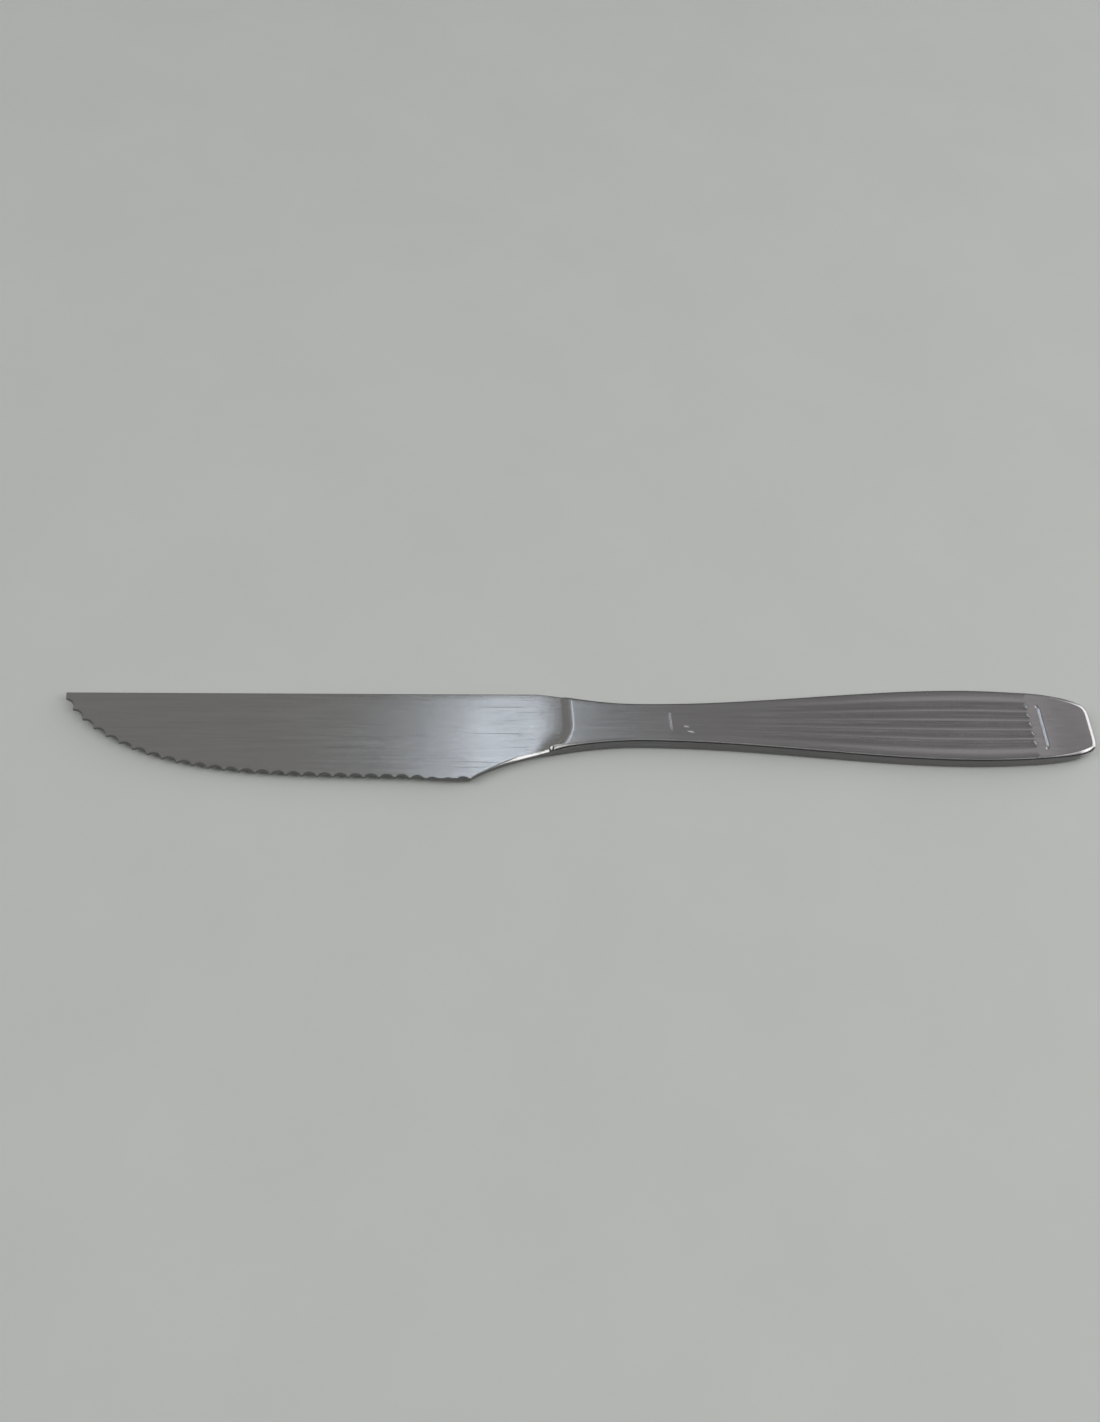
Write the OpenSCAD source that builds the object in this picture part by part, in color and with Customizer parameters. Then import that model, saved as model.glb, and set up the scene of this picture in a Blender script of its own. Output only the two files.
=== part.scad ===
// Steak knife, forged and ground from one bar of stainless steel, lying on its side.
// The tip points to -X and the cutting edge faces -Y. The scallops of the edge are ground from
// the front, which lies uppermost, and a bevel on the back thins the edge.
// The origin is on the underside of the neck, halfway along it, on the axis of the handle.
// The knife is drawn in its three zones: the blade, the neck, which makers call the bolster,
// and the handle. They meet face to face at two square cuts across the bar.
// Lengths are in millimetres, and values named share are parts of a length.

/* [Blade] */
// Length from the shoulder face to the tip
blade_len = 102.8; // [85:0.1:125]
// Height of the spine above the axis of the handle
spine_rise = 6.9; // [5.8:0.1:8.5]
// How far the spine falls between the shoulder and the tip
spine_fall = 0.5; // [0:0.1:1.5]
// Depth of the cutting edge below the axis of the handle, at the heel
heel_drop = 12.9; // [10.5:0.1:16]
// Distance from the shoulder face to the heel corner
heel_back = 23.7; // [18:0.1:30]
// Height of the blunt tip
tip_height = 1.3; // [1:0.1:2]
// Thickness along the spine
spine_t = 1.6; // [1.3:0.05:2]
// Thickness above the bevel
edge_t = 1.4; // [1.1:0.05:1.6]

/* [Teeth] */
// Distance from point to point
tooth_pitch = 3; // [2:0.1:4.5]
// Depth of a scallop
tooth_depth = 0.9; // [0.5:0.05:1.2]
// Thickness left at the points by the bevel on the back
point_t = 0.6; // [0.4:0.05:0.9]
// Width of that bevel
bevel_w = 2.4; // [1.2:0.1:3]

/* [Shoulder] */
// Length over which the blade thickens to the bar
plunge_len = 13; // [9:0.5:18]
// How far the lower end of the shoulder line curves towards the tip
shoulder_bow = 3.4; // [1:0.1:5]
// Flat between the shoulder line and the shoulder face
shoulder_land = 3.3; // [2:0.1:4.5]

/* [Bar] */
// Thickness of the bar
bar_t = 3.3; // [2.8:0.1:4.5]
// Rounding along the edges of the neck and the grip
edge_r = 0.55; // [0.3:0.05:1.1]

/* [Neck] */
// Length of the neck
neck_len = 17.6; // [13:0.1:24]
// Width of the neck at its waist
neck_w = 9; // [7.5:0.1:11]

/* [Handle] */
// Length from the neck to the butt
handle_len = 94.1; // [75:0.1:115]
// Width of the handle at its widest
grip_w = 17.4; // [14:0.1:21]
// Distance from the butt to the widest place
butt_len = 27.4; // [20:0.1:34]
// How far each face falls towards the butt
butt_fall = 0.3; // [0:0.05:0.5]
// Rounding round the butt
butt_r = 1.1; // [0.5:0.05:1.2]

/* [Flutes] */
// Depth of the flutes where the grip is widest
flute_depth = 0.25; // [0.1:0.05:0.4]
// Distance from the neck to the start of the flutes
flute_start = 3.6; // [2.4:0.1:6]
// Distance from the butt to the end of the flutes
flute_end = 14.2; // [13.1:0.1:17]
// Distance from the butt to the cross groove near it
butt_groove_at = 12.2; // [9.5:0.1:12.4]
// Width of that groove
butt_groove_w = 1.4; // [0.8:0.1:1.5]
// Depth of that groove
butt_groove_depth = 0.14; // [0.06:0.02:0.2]
// Distance from the neck to the cross groove near it
neck_groove_at = 0.35; // [0.35:0.05:1.6]
// Width of that groove
neck_groove_w = 0.6; // [0.4:0.05:0.65]
// Depth of that groove
neck_groove_depth = 0.04; // [0.02:0.01:0.1]

/* [Hidden] */
steel_colour = "#b4b6b9";
ground_colour = "#a3a6a9";

// Places along the bar
shoulder_x = -neck_len / 2;
plunge_x = shoulder_x - shoulder_land;
hollow_limit_share = 0.95;
hollow_len = min(plunge_len, hollow_limit_share * (heel_back - shoulder_land));
tip_x = shoulder_x - blade_len;
heel_x = shoulder_x - heel_back;
grip_x = neck_len / 2;
butt_x = grip_x + handle_len;
wide_x = butt_x - butt_len;
mid_z = bar_t / 2;

// The waist of the neck, and the place where the spine starts to fall to it
waist_share = 0.68;
waist_x = blend(shoulder_x, grip_x, waist_share);
spine_end_share = 0.4;
spine_end_x = blend(shoulder_x, heel_x, spine_end_share);

// Bends of the outline: powers of the formulas below
top_sweep = [1.3, 2.2];
heel_sweep = [0.85, 1.85];
belly_power = 5;
point_power = 0.79;
belly_slope_share = 0.088;
swell_power = 1.02;
butt_powers = [1.65, 6.2];

// Section of the blade. The hollow rises slowly, and its last part is a short steep step.
tip_t_share = 0.55;
plunge_power = 1.8;
step_power = 30;
step_share = 0.4;
blade_r = 0.2;
edge_roll = 0.08;
bevel_reach_share = 0.6;
bevel_run_out = 7;

// Teeth: the lean of the grinding wheel, the flat left on each point, the depths of the scallops
// next to the heel as shares of the full depth, and the overrun of the wheel
wheel_lean = 32;
point_flat = 0.12;
run_out_shares = [0.75, 0.4, 0.5, 0.85];
overrun = 2;
wheel_facets = 48;

// Flutes: their number each side of the middle one, their pitch as a share of half the flat face,
// and the outer flank of the last one as a share of the others
flute_side_count = 2;
flute_pitch_share = 0.29;
flute_outer_share = 1.4;
flute_power = 3.6;
flute_shallow_share = 0.25;
flute_deepen_share = 0.55;
flute_scoop = 2;
// Start of the margin, where the face falls to the edge, and its fall as a share of the depth
margin_share = 0.84;
margin_fall_share = 0.6;
// Ends of the cross grooves across the face, as shares of half its width, and their run-out
neck_groove_shares = [-0.52, 0.6];
butt_groove_shares = [-0.8, 0.68];
groove_run_out_share = 0.12;
groove_power = 1.4;

// Facets of a rounding, of the blade's face and of the line on which the teeth are spaced
roll_steps = 4;
blade_face_steps = 8;
belly_steps = 160;

// Stations in each stretch of the bar
tip_zone_share = 0.33;
tip_rings = 16;
belly_rings = 9;
run_out_rings = 5;
root_rings = 5;
plunge_rings = 14;
sweep_rings = 8;
grip_rings = 14;
swell_rings = 3;
scoop_rings = 5;
butt_rings = 11;
butt_turn_last = 88.5;
slope_step = 0.03;
roll_limit_share = 0.85;

function clamp01(u) = min(1, max(0, u));
function blend(a, b, u) = a + (b - a) * u;
function ease(u) = let (c = clamp01(u)) c * c * (3 - 2 * c);
function fall(u, powers) = pow(1 - pow(clamp01(u), powers[0]), powers[1]);
function steps(from, to, count) = [for (i = [0 : count - 1]) blend(from, to, i / count)];
function reversed(list) = [for (i = [len(list) - 1 : -1 : 0]) list[i]];

// Outline. The spine is straight, and falls to the waist of the neck in a long sweep.
function spine_y(x) = spine_rise - spine_fall * clamp01((shoulder_x - x) / blade_len);
function upper_y(x) =
    x <= spine_end_x ? spine_y(x)
    : x < waist_x ? blend(neck_w / 2, spine_y(spine_end_x),
        fall((x - spine_end_x) / (waist_x - spine_end_x), top_sweep))
    : half_w(x);

// The belly runs nearly straight from the heel and curls up to the tip.
function belly_y(x) =
    let (u = clamp01((heel_x - x) / (heel_x - tip_x)),
         tip_low = spine_y(tip_x) - tip_height,
         curl = 1 - pow(1 - pow(u, belly_power), point_power))
    blend(-heel_drop, tip_low, blend(curl, u, belly_slope_share));
function lower_y(x) =
    x <= heel_x ? belly_y(x)
    : x < waist_x ? -blend(neck_w / 2, heel_drop, fall((x - heel_x) / (waist_x - heel_x), heel_sweep))
    : -half_w(x);

// The handle swells from the waist to its widest place, and ends in a squared-off oval.
function half_w(x) =
    x < wide_x
    ? blend(neck_w, grip_w, ease(pow(clamp01((x - waist_x) / (wide_x - waist_x)), swell_power))) / 2
    : grip_w / 2 * pow(1 - pow(clamp01((x - wide_x) / butt_len), butt_powers[0]), 1 / butt_powers[1]);

// Thickness. The blade is a wedge that thins to the edge and to the tip, and a hollow and a step
// bring it up to the bar at the shoulder line.
function tip_thin(x) = blend(1, tip_t_share, clamp01((shoulder_x - x) / blade_len));
function wedge_t(x, v) = blend(edge_t, spine_t, (1 + v) / 2) * tip_thin(x);
function plunge(x) =
    let (u = 1 - clamp01((plunge_x - x) / hollow_len))
    blend(pow(u, plunge_power), pow(u, step_power), step_share);
function section_t(x, v) = blend(wedge_t(x, v), bar_t, plunge(x));

// Flutes, side by side, with rounded ridges between them. Their depth grows from the neck to the
// widest place, and their ends are scooped.
flute_from = grip_x + flute_start;
flute_to = butt_x - flute_end;
function scoop(d) = let (u = clamp01(d / flute_scoop)) 1 - (1 - u) * (1 - u);
function flute_reach(x) = scoop(x - flute_from) * scoop(flute_to - x);
function flute_deepen(x) =
    blend(flute_shallow_share, 1, ease((x - flute_from) / (flute_deepen_share * (flute_to - flute_from))));
function flute_round(v, reach) =
    let (turn = abs(v) / flute_pitch_share,
         off = turn > flute_side_count ? (turn - flute_side_count) / flute_outer_share
             : abs(turn - round(turn)))
    margin_fall_share * clamp01((abs(v) - margin_share) / (1 - margin_share))
    + pow(cos(90 * clamp01(4 * off / (reach + 1))), flute_power);
function flute_cut(x, v) =
    let (reach = flute_reach(x))
    reach <= 0 ? 0 : flute_depth * flute_deepen(x) * reach * flute_round(v, reach);

// Cross grooves, shallow troughs square to the handle
function groove_cut(x, v, at, width, depth, ends) =
    depth * (1 - pow(clamp01(abs(x - at) * 2 / width), groove_power))
    * clamp01(min(v - ends[0], ends[1] - v) / groove_run_out_share);
neck_groove_x = grip_x + neck_groove_at;
butt_groove_x = butt_x - butt_groove_at;
function pressed(x, v) =
    x < grip_x ? 0
    : flute_cut(x, v)
        + groove_cut(x, v, neck_groove_x, neck_groove_w, neck_groove_depth, neck_groove_shares)
        + groove_cut(x, v, butt_groove_x, butt_groove_w, butt_groove_depth, butt_groove_shares);
function butt_drop(x) = butt_fall * ease((x - butt_groove_x) / butt_groove_at);

// Height of a face over the middle of the bar
function face_z(x, v) = section_t(x, v) / 2 - butt_drop(x) - pressed(x, v);

// Roundings. The blade's own are small, and the edge side has a bevel on the back instead.
function edge_share(x) = ease((heel_x - x) / bevel_run_out);
function roll(x) =
    x < shoulder_x ? blend(blade_r, edge_r, plunge(x))
    : blend(edge_r, min(butt_r, roll_limit_share * (bar_t / 2 - butt_fall)),
        ease((x - butt_groove_x) / butt_groove_at));
function bevel_reach(x) =
    let (slope = (belly_y(x + slope_step) - belly_y(x)) / slope_step)
    min(bevel_w * sqrt(1 + slope * slope), bevel_reach_share * (upper_y(x) - lower_y(x)));

// Width and height of the rounding on one side (1 spine, -1 edge) of one face (1 front, -1 back)
function corner_w(x, side, face) =
    side > 0 ? roll(x) : blend(roll(x), face > 0 ? edge_roll : bevel_reach(x), edge_share(x));
function corner_h(x, side, face) =
    let (bevel = section_t(x, -1) - edge_roll - point_t * tip_thin(x))
    side > 0 ? roll(x) : blend(roll(x), face > 0 ? edge_roll : bevel, edge_share(x));

// A station line crosses the bar. At the shoulder its lower half curves towards the tip, and past
// the widest place its ends follow the outline's own direction, so that the rounding runs evenly
// round the butt.
function bow_share(x) =
    x > plunge_x ? clamp01((shoulder_x - x) / shoulder_land) : clamp01(1 - (plunge_x - x) / hollow_len);
function line_x(x, v) = x - shoulder_bow * bow_share(x) * pow(min(v, 0), 2);
function outward(x) =
    x <= wide_x ? [0, 1]
    : let (slope = (half_w(x - slope_step) - half_w(x)) / slope_step) [slope, 1] / norm([slope, 1]);

// Point k of a rounding, from the face (0) to the wall (roll_steps)
function corner_point(x, side, face, k) =
    let (turn = 90 * k / roll_steps,
         flat = side < 0 && face < 0 ? edge_share(x) : 0,
         inset = corner_w(x, side, face) * blend(1 - sin(turn), 1 - k / roll_steps, flat),
         drop = corner_h(x, side, face) * blend(1 - cos(turn), k / roll_steps, flat),
         line = line_x(x, side),
         out = outward(x),
         y = side > 0 ? upper_y(line) : lower_y(line))
    [line - inset * out[0], y - side * inset * out[1], mid_z + face * (face_z(x, side) - drop)];

// Points across one face, at shares v of its half width
function face_point(x, v, face) =
    let (up = corner_point(x, 1, face, 0),
         low = corner_point(x, -1, face, 0),
         inset = line_x(x, 1) - up[0])
    [line_x(x, v) - inset, blend(low[1], up[1], (1 + v) / 2), mid_z + face * face_z(x, v)];

// One closed line of points round the bar: front face from spine to edge, then the back
function section(x, across) = [
    for (k = [roll_steps : -1 : 1]) corner_point(x, 1, 1, k),
    for (v = across) face_point(x, v, 1),
    for (k = [1 : roll_steps]) corner_point(x, -1, 1, k),
    for (k = [roll_steps : -1 : 1]) corner_point(x, -1, -1, k),
    for (i = [len(across) - 1 : -1 : 0]) face_point(x, across[i], -1),
    for (k = [1 : roll_steps]) corner_point(x, 1, -1, k)
];

// Solid through the sections at the given stations
module loft(stations, across) {
    count = 2 * (len(across) + 2 * roll_steps);
    last = len(stations) - 1;
    points = [for (x = stations) each section(x, across)];
    walls = [for (i = [0 : last - 1], j = [0 : count - 1])
        let (a = i * count + j, b = i * count + (j + 1) % count)
        each [[a, a + count, b], [b, a + count, b + count]]];
    // The end is closed by strips between the two edges, because it is curved at the butt
    half = count / 2;
    first_row = last * count;
    front_row = [for (j = [roll_steps : roll_steps + len(across) - 1]) first_row + j];
    back_row = [for (j = [half + roll_steps : half + roll_steps + len(across) - 1]) first_row + j];
    near = [for (k = [0 : roll_steps - 1]) first_row + roll_steps - 1 - k,
            for (k = [0 : roll_steps - 1]) first_row + count - 1 - k];
    far = [for (k = [0 : roll_steps - 1]) first_row + half - roll_steps + k,
           for (k = [0 : roll_steps - 1]) first_row + half + k];
    end = [
        [far[0], each reversed(front_row), near[0]],
        for (k = [0 : 2 * roll_steps - 2])
            each [[near[k + 1], far[k], near[k]], [near[k + 1], far[k + 1], far[k]]],
        [near[2 * roll_steps - 1], each reversed(back_row), far[2 * roll_steps - 1]]
    ];
    start = [[for (j = [0 : count - 1]) j]];
    polyhedron(points, concat(start, walls, end), convexity = 6);
}

// Stations. They are close together where the shape turns quickly.
belly_x0 = blend(tip_x, heel_x, tip_zone_share);
run_out_x = heel_x - bevel_run_out;
plunge_x0 = plunge_x - hollow_len;
blade_stations = concat([for (u = steps(0, 1, tip_rings)) blend(tip_x, belly_x0, u * u)],
    steps(belly_x0, run_out_x, belly_rings), steps(run_out_x, heel_x, run_out_rings),
    steps(heel_x, plunge_x0, root_rings),
    [for (u = steps(1, 0, plunge_rings)) blend(plunge_x, plunge_x0, u * u)],
    [plunge_x, (plunge_x + shoulder_x) / 2, shoulder_x]);
neck_stations = concat(steps(shoulder_x, waist_x, sweep_rings), [waist_x, (waist_x + grip_x) / 2, grip_x]);
groove_shares = [-0.5, -0.3, 0, 0.3, 0.5];
function groove_stations(at, width) = [for (share = groove_shares) at + share * width];
butt_corner_x = butt_groove_x + butt_groove_w;
function butt_station(turn) = wide_x + butt_len * pow(sin(turn), 2 / butt_powers[0]);
butt_turn_first = asin(pow((butt_corner_x - wide_x) / butt_len, butt_powers[0] / 2));
handle_stations = concat([grip_x], groove_stations(neck_groove_x, neck_groove_w),
    steps(flute_from, flute_from + flute_scoop, scoop_rings),
    steps(flute_from + flute_scoop, wide_x, grip_rings),
    steps(wide_x, flute_to - flute_scoop, swell_rings),
    steps(flute_to - flute_scoop, flute_to, scoop_rings), [flute_to],
    groove_stations(butt_groove_x, butt_groove_w),
    [for (i = [0 : butt_rings]) butt_station(blend(butt_turn_first, butt_turn_last, i / butt_rings))]);

// Places across a face
blade_across = [for (i = [0 : blade_face_steps]) 1 - 2 * i / blade_face_steps];
neck_across_shares = [1, 0.4, -0.4, -1];
// Points on one flank of a flute, as shares of the pitch from the bottom to the ridge
flank_shares = [0.18, 0.35, 0.5];
half_across = [for (i = [0 : flute_side_count])
    let (flank = i == flute_side_count ? flute_outer_share : 1)
    each concat(i > 0 ? [i - flank_shares[1], i - flank_shares[0], i] : [],
        [for (share = flank_shares) i + share * flank])] * flute_pitch_share;
margin_shares = [1, (1 + margin_share) / 2, margin_share];
handle_across = concat(margin_shares, reversed(half_across), [0], -half_across, -reversed(margin_shares));

// Teeth. Points of the belly against the distance along it from the tip.
belly = [for (i = [0 : belly_steps])
    let (u = i / belly_steps, x = blend(tip_x, heel_x, u * u)) [x, belly_y(x)]];
belly_strides = [for (i = [1 : belly_steps]) norm(belly[i] - belly[i - 1])];
belly_runs = [for (i = 0, run = 0; i <= belly_steps; run = run + (i < belly_steps ? belly_strides[i] : 0),
    i = i + 1) run];
belly_len = belly_runs[belly_steps];
belly_x = [for (i = [0 : belly_steps]) [belly_runs[i], belly[i][0]]];
tooth_count = floor(belly_len / tooth_pitch + 0.5);
tooth_run = belly_len / tooth_count;
// The wheel's radius gives the full depth on the front face, where its slope stretches the cut
tooth_chord = tooth_run - point_flat;
wheel_bite = tooth_depth * cos(wheel_lean);
wheel_r = (tooth_chord * tooth_chord / 4 + wheel_bite * wheel_bite) / (2 * wheel_bite);

module wheel(i) {
    run = (i + 0.5) * tooth_run;
    x = lookup(run, belly_x);
    ahead = lookup(run + tooth_run / 4, belly_x);
    behind = lookup(run - tooth_run / 4, belly_x);
    turn = atan2(belly_y(ahead) - belly_y(behind), ahead - behind);
    from_heel = tooth_count - 1 - i;
    bite = wheel_bite * (from_heel < len(run_out_shares) ? run_out_shares[from_heel] : 1);
    top_z = mid_z + section_t(x, -1) / 2;
    translate([x, belly_y(x), top_z])
        rotate([0, 0, turn])
            rotate([-wheel_lean, 0, 0])
                translate([0, bite - wheel_r, -bar_t])
                    cylinder(r = wheel_r, h = bar_t + overrun, $fn = wheel_facets);
}

module blade() {
    color(steel_colour)
        difference() {
            loft(blade_stations, blade_across);
            for (i = [0 : tooth_count - 1]) wheel(i);
        }
}

module bolster() {
    color(steel_colour) loft(neck_stations, neck_across_shares);
}

module handle() {
    color(ground_colour) loft(handle_stations, handle_across);
}

blade();
bolster();
handle();
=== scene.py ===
"""A one-piece steak knife lying on its side: surfaces, finishes, lights and camera.

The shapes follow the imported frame. The blade, the neck and the handle are zones of one bar of
steel, so they share one outline and one section, and meet face to face at two cuts across the bar.
All lengths are in metres: +X runs from the tip to the butt, -Y is the way the cutting edge faces,
and the knife lies on z = 0. Values named share are parts of a length.
"""

from functools import partial

import bpy
import numpy as np
from bpy.props import FloatProperty, FloatVectorProperty, IntProperty, PointerProperty
from mathutils import Matrix, Vector


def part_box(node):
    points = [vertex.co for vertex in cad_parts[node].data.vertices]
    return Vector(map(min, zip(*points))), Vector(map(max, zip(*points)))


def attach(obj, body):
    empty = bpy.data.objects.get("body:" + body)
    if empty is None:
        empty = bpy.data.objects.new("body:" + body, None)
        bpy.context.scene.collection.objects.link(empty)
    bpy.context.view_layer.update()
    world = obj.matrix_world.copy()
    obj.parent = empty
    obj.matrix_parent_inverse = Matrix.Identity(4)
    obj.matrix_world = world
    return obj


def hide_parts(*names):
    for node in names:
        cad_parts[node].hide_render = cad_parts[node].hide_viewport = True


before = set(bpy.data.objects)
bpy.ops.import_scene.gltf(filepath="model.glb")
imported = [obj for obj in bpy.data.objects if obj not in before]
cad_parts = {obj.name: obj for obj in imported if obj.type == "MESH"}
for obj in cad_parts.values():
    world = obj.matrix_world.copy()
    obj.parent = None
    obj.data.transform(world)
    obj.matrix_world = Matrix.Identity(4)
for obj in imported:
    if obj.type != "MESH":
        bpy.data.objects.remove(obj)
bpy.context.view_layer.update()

bl_info = {
    "name": "Steak knife",
    "version": (1, 0, 0),
    "blender": (4, 5, 0),
    "location": "3D View > Sidebar > Knife",
    "description": "A one-piece steak knife with a scalloped edge and a fluted handle",
    "category": "Add Mesh",
}

BLADE_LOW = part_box("blade")[0]
NECK_LOW, NECK_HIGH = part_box("bolster")
GRIP_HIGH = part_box("handle")[1]


# Sizes

def number(name, description, default, **kind):
    return FloatProperty(name=name, description=description, default=default, min=0.0, **kind)


length = partial(number, unit="LENGTH", precision=5)
share = partial(number, subtype="FACTOR", max=1.0)
power = partial(number, unit="POWER")


def colour(name, description, default):
    return FloatVectorProperty(name=name, description=description, default=default,
                               subtype="COLOR", size=3, min=0.0, max=1.0)


class BladeSizes(bpy.types.PropertyGroup):
    length: length("Length", "From the shoulder face to the tip", NECK_LOW[0] - BLADE_LOW[0])
    spine_rise: length("Spine rise", "Height of the spine above the handle's axis", 0.0069)
    spine_fall: length("Spine fall", "Fall of the spine from shoulder to tip", 0.0005)
    heel_drop: length("Heel drop", "Depth of the edge below the axis, at the heel", -BLADE_LOW[1])
    heel_back: length("Heel distance", "From the shoulder face to the heel corner", 0.0237)
    tip_height: length("Tip height", "Height of the blunt tip", 0.0013)
    spine_t: length("Spine thickness", "Thickness along the spine", 0.0016)
    edge_t: length("Edge thickness", "Thickness above the bevel", 0.0014)
    plunge_len: length("Hollow", "Length over which the blade thickens to the bar", 0.013)
    shoulder_bow: length("Shoulder bow", "How far the shoulder line's lower end curves", 0.0034)
    shoulder_land: length("Shoulder land", "From the shoulder line to the shoulder face", 0.0033)
    crest_r: length("Crest", "Half the length that rounds the hollow's end", 0.0006)


class TeethSizes(bpy.types.PropertyGroup):
    pitch: length("Pitch", "Distance from point to point", 0.003)
    depth: length("Depth", "Depth of a scallop", 0.0009)
    point_t: length("Point thickness", "Thickness that the bevel leaves at the points", 0.0006)
    bevel_w: length("Bevel", "Width of the bevel on the back", 0.0024)
    steps: IntProperty(name="Steps", description="Steps along a scallop", default=24, min=6, max=40)


class BarSizes(bpy.types.PropertyGroup):
    thickness: length("Thickness", "Thickness of the bar", NECK_HIGH[2] - NECK_LOW[2])
    edge_r: length("Edge rounding", "Rounding along the edges of the neck and the grip", 0.00055)
    neck_w: length("Neck width", "Width of the neck at its waist", 0.009)
    grip_w: length("Grip width", "Width of the handle at its widest", 0.0174)
    butt_len: length("Butt length", "From the butt to the widest place", 0.0274)
    butt_fall: length("Butt fall", "Fall of each face towards the butt", 0.0003)
    butt_r: length("Butt rounding", "Rounding round the butt", 0.0011)


class FluteSizes(bpy.types.PropertyGroup):
    depth: length("Depth", "Depth of the flutes where the grip is widest", 0.00015)
    start: length("Start", "From the neck to the start of the flutes", 0.0036)
    end: length("End", "From the butt to the end of the flutes", 0.0142)
    butt_groove_at: length("Butt groove", "From the butt to the cross groove near it", 0.0122)
    butt_groove_w: length("Butt groove width", "Width of the groove near the butt", 0.0014)
    butt_groove_depth: length("Butt groove depth", "Depth of the groove near the butt", 0.000185)
    neck_groove_at: length("Neck groove", "From the neck to the cross groove near it", 0.00035)
    neck_groove_w: length("Neck groove width", "Width of the groove near the neck", 0.0006)
    neck_groove_depth: length("Neck groove depth", "Depth of the groove near the neck", 0.00004)


class FinishSettings(bpy.types.PropertyGroup):
    blade: colour("Blade", "Ground steel of the blade", (0.615, 0.61, 0.605))
    bolster: colour("Neck", "Satin steel of the neck", (0.60, 0.60, 0.61))
    handle: colour("Handle", "Pressed steel of the handle", (0.58, 0.57, 0.58))
    satin: share("Satin", "Roughness of the satin faces", 0.17)
    ground: share("Ground", "Roughness of the freshly ground scallops", 0.24)
    sheared: share("Sheared", "Roughness of the sheared sides of the bar", 0.3)
    brushing: share("Brushing", "Strength of the lengthwise brushing", 0.28)


class StageSettings(bpy.types.PropertyGroup):
    floor: colour("Floor", "Pale floor", (0.87, 0.895, 0.865))
    floor_side: length("Floor side", "Side of the square floor", 4.0)
    room: number("Room", "Brightness of the room", 0.218)
    overhead: number("Overhead", "Brightness of the ceiling", 1.0)
    window: power("Window", "Window behind", 0.076)
    glow: power("Glow", "Soft glow behind the butt", 0.03)
    key: power("Key", "Soft light at the front right", 2.2)
    side: power("Side", "Soft light at the butt's end", 2.6)
    back: power("Back", "Soft light beyond the tip", 3.1)
    lamp: power("Lamp", "Small lamp at the front", 0.42)


class KnifeSettings(bpy.types.PropertyGroup):
    blade: PointerProperty(type=BladeSizes)
    teeth: PointerProperty(type=TeethSizes)
    bar: PointerProperty(type=BarSizes)
    flutes: PointerProperty(type=FluteSizes)
    finish: PointerProperty(type=FinishSettings)
    stage: PointerProperty(type=StageSettings)


# Outline: shares, and powers of its formulas
WAIST_SHARE = 0.68
SPINE_END_SHARE = 0.4
TOP_SWEEP = (1.3, 2.2)
HEEL_SWEEP = (0.85, 1.85)
BELLY_POWER = 5.0
POINT_POWER = 0.79
BELLY_SLOPE_SHARE = 0.088
SWELL_POWER = 1.02
BUTT_POWERS = (1.65, 6.2)
TIP_T_SHARE = 0.55

# Hollow: its power, and its step and lip, whose spans are measured from the shoulder line
PLUNGE_POWER = 3.2
STEP_SHARE = 0.36
STEP_SPAN = (-0.0010, 0.0001)
LIP_SHARE = 0.14
LIP_SPAN = (-0.0005, 0.0013)
BOW_POWER = 1.5

# Roundings
ROUND_POWER = 2.0
BLADE_R = 0.0002
EDGE_ROLL = 0.00008
ROLL_LIMIT_SHARE = 0.85
RIM_WIDEN = 0.2
RIM_FLATTEN = 0.25
RIM_POWER_DROP = 0.5
HEEL_ROLL = 0.00027
HEEL_WIDEN = 1.2
HEEL_POWER_DROP = 0.92
HEEL_FROM, HEEL_RISE, HEEL_FALL = 0.001, 0.009, 0.004

# Bevel and scallops
BEVEL_REACH_SHARE = 0.6
BEVEL_RUN_OUT = 0.007
WHEEL_LEAN = np.radians(20.0)
POINT_FLAT = 0.00012
RUN_OUT_SHARES = (0.85, 0.5, 0.4, 0.75)

# Flutes, nicks and cross grooves
SIDE_FLUTES = 2
FLUTE_PITCH_SHARE = 0.29
FLUTE_OUTER_SHARE = 1.4
FLUTE_POWER = 2.4
FLUTE_SHALLOW_SHARE = 0.25
FLUTE_DEEPEN_SHARE = 0.55
FLUTE_START = 0.002
FLUTE_START_POWER = 2.0
FLUTE_STOP = 0.00056
FLUTE_STOP_POWER = 1.15
MARGIN_SHARE = 0.84
MARGIN_FALL_SHARE = 0.6
MARGIN_POWER = 1.5
NICK_FLUTES = (-2.0, -1.0)
NICK_DEPTH = 0.0001
NICK_LENGTH = 0.003
NICK_BEFORE = 0.001
NICK_STAGGER = 0.0008
NICK_WIDTH_SHARE = 0.4
NECK_GROOVE_SHARES = (-0.52, 0.6)
BUTT_GROOVE_SHARES = (-0.8, 0.68)
GROOVE_END_SHARE = 0.12
NECK_GROOVE_WALLS = (0.5, 0.5, 1.4)
BUTT_GROOVE_WALLS = (0.15, 0.5, 1.05)

# Where each finish shows, and where the ground, sheared and pressed marks paint shade
SHEARED_AND_PAINTED_SHADE_FROM_TURN = 22.0
RIM_FROM, RIM_RUN = 0.6, 0.3
HEEL_POLISH_SHARE = 0.9
BEVEL_GROUND_AND_PAINTED_SHADE_SHARE = 0.6
PRESSED_AND_PAINTED_SHADE_POWER = 1.5

# Facets: steps and points round the section
SLOPE_STEP = 0.00003
HALVINGS = 40
SHARP_ANGLE = 30.0
ROLL_STEPS = 8
WALL_STEPS = 5
BEVEL_STEPS = 6
BAND_STEPS = 5
FACE_STEPS = 12
FRONT_BAND = 0.0015
NECK_POINTS = 19
MARGIN_POINTS = 11
FLUTE_POINTS = 89

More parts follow.
